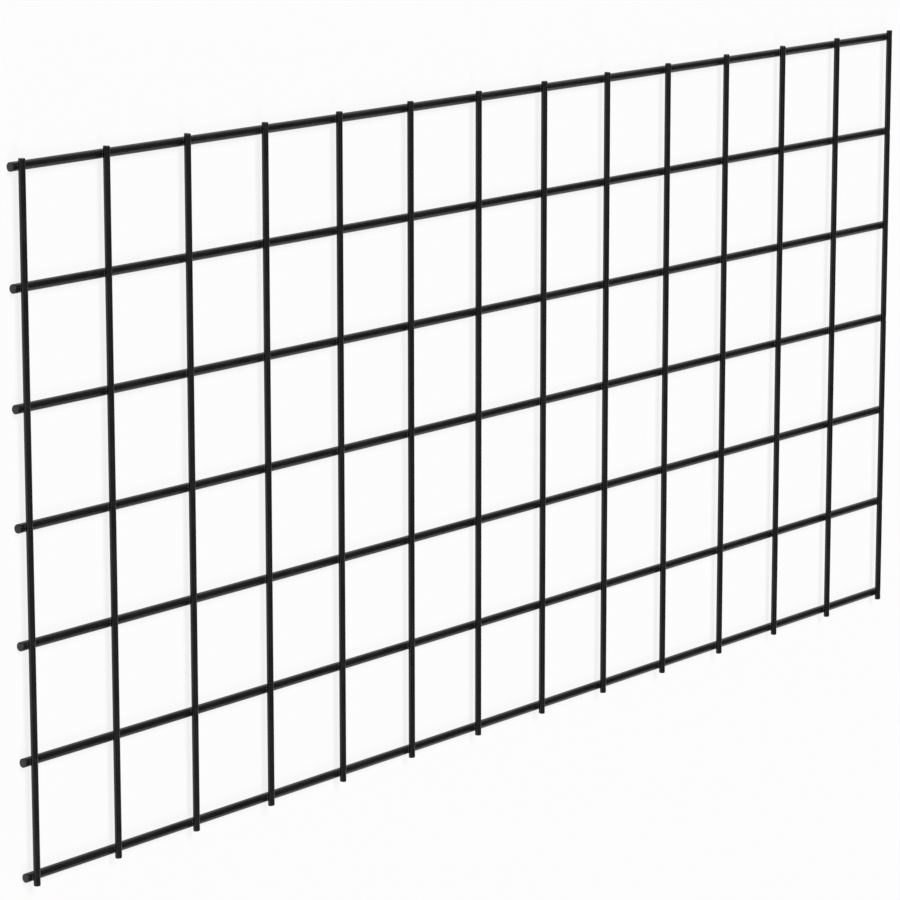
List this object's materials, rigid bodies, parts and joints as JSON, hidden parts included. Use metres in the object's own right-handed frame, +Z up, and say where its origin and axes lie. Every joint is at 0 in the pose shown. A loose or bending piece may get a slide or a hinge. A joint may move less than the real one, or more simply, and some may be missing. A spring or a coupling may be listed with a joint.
{
  "type": "welded wire mesh panel",
  "caption": "Flat sheet of black coated round steel wire, welded into square cells, with short wire ends standing past the outer wires.",
  "frame": {"origin": "on the floor, in the middle of the panel's bounding box", "axes": "+X along the long wires, +Y along the cross wires, +Z up through the sheet, with the cross wires on top of the long wires"},
  "size_m": [1.316, 0.614, 0.013],
  "materials": {
    "coated_wire": "satin black coating on steel wire"
  },
  "bodies": {
    "root": {"mesh_panel": "coated_wire"}
  },
  "joints": []
}
